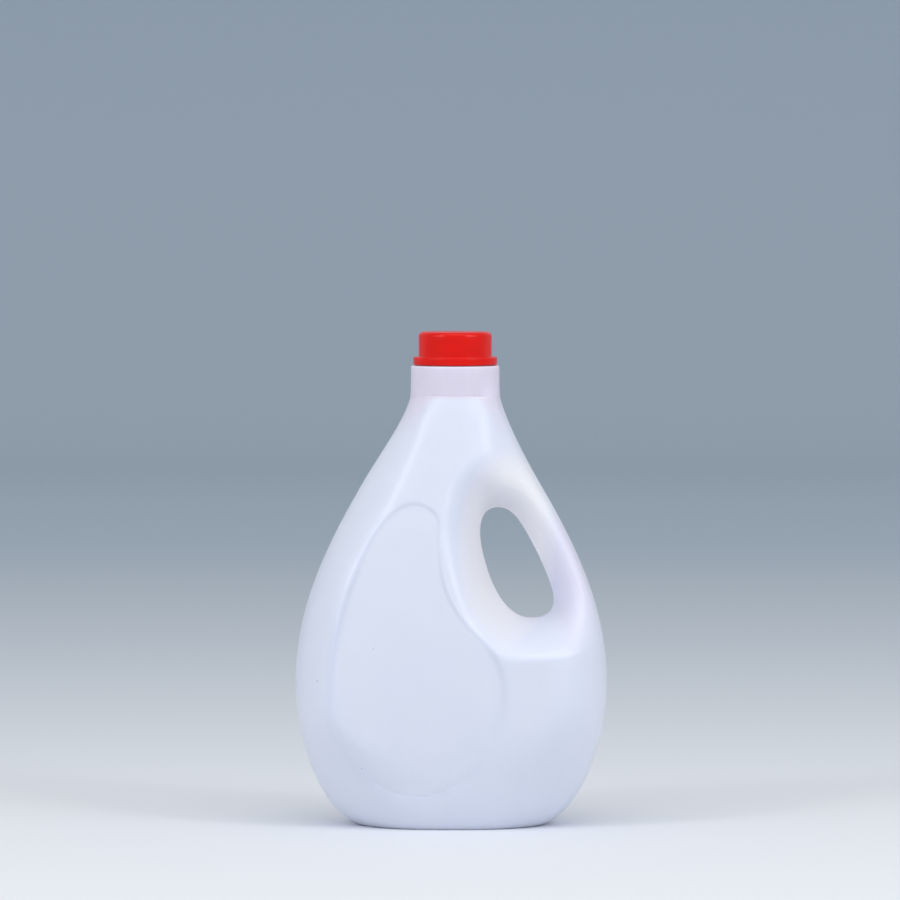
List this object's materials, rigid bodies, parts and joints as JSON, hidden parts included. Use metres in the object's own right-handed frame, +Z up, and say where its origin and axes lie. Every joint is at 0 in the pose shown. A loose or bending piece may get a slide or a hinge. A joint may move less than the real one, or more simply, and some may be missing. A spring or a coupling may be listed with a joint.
{
  "type": "plastic jerrycan",
  "caption": "Teardrop blow-moulded plastic jerrycan with a through handle, sunk oval label panels and a red screw cap, for pouring and storing liquids.",
  "frame": {"origin": "middle of the footprint, on the surface that the jerrycan stands on", "axes": "+Z up, +X across the wide faces towards the handle, the mould parts along Y = 0"},
  "size_m": [0.174, 0.1018, 0.2759],
  "materials": {
    "natural_plastic": "satin, milky natural polyethylene",
    "red_plastic": "moulded, low gloss",
    "foam": "soft closed-cell foam"
  },
  "bodies": {
    "bottle_body": {"bottle_lower": "natural_plastic", "bottle_middle": "natural_plastic", "bottle_upper": "natural_plastic", "bottle_neck": "natural_plastic"},
    "liner_body": {"cap_liner": "foam"},
    "cap_body": {"screw_cap": "red_plastic"}
  },
  "joints": [
    {"name": "cap_rise", "type": "slide", "parent": "bottle_body", "child": "liner_body", "axis": [0, 0, 1], "range_m": [0, 0.0084]},
    {"name": "cap_turn", "type": "hinge", "parent": "liner_body", "child": "cap_body", "pos_m": [0.0022, 0, 0.2655], "axis": [0, 0, 1], "range_deg": [0, 720]}
  ],
  "couplings": [
    {"joint": "cap_rise", "follows": "cap_turn", "m_per_rad": 0.00066845}
  ]
}
